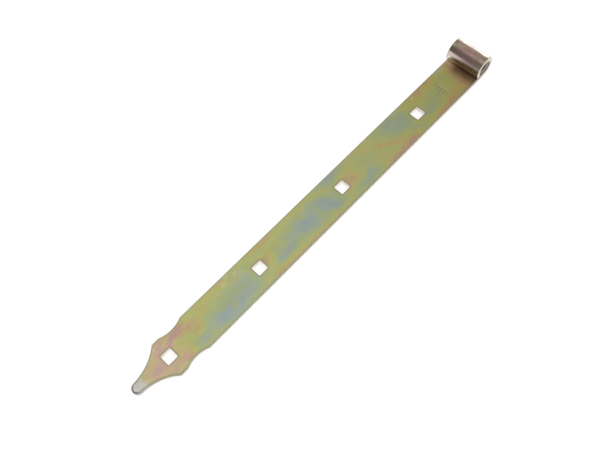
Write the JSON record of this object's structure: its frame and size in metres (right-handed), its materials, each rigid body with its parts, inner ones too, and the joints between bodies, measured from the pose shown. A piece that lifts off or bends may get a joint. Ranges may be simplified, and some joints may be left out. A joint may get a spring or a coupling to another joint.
{
  "type": "gate hinge strap",
  "caption": "Flat steel gate hinge strap with a rolled eye for a hook's pin at one end, square carriage-bolt holes along its middle and an ornamental leaf tip.",
  "frame": {"origin": "middle of the bounding box, on the back face that lies against the gate", "axes": "+X along the strap from the leaf tip to the eye, +Y across the strap along the eye's bore, +Z out of the front face, the side that the eye stands on"},
  "size_m": [0.422, 0.035, 0.022],
  "materials": {
    "yellow_zinc": "yellow-passivated zinc plating on steel: semi-gloss olive yellow with soft rose, teal and gold iridescent patches"
  },
  "bodies": {
    "root": {"hinge_strap": "yellow_zinc"}
  },
  "joints": []
}
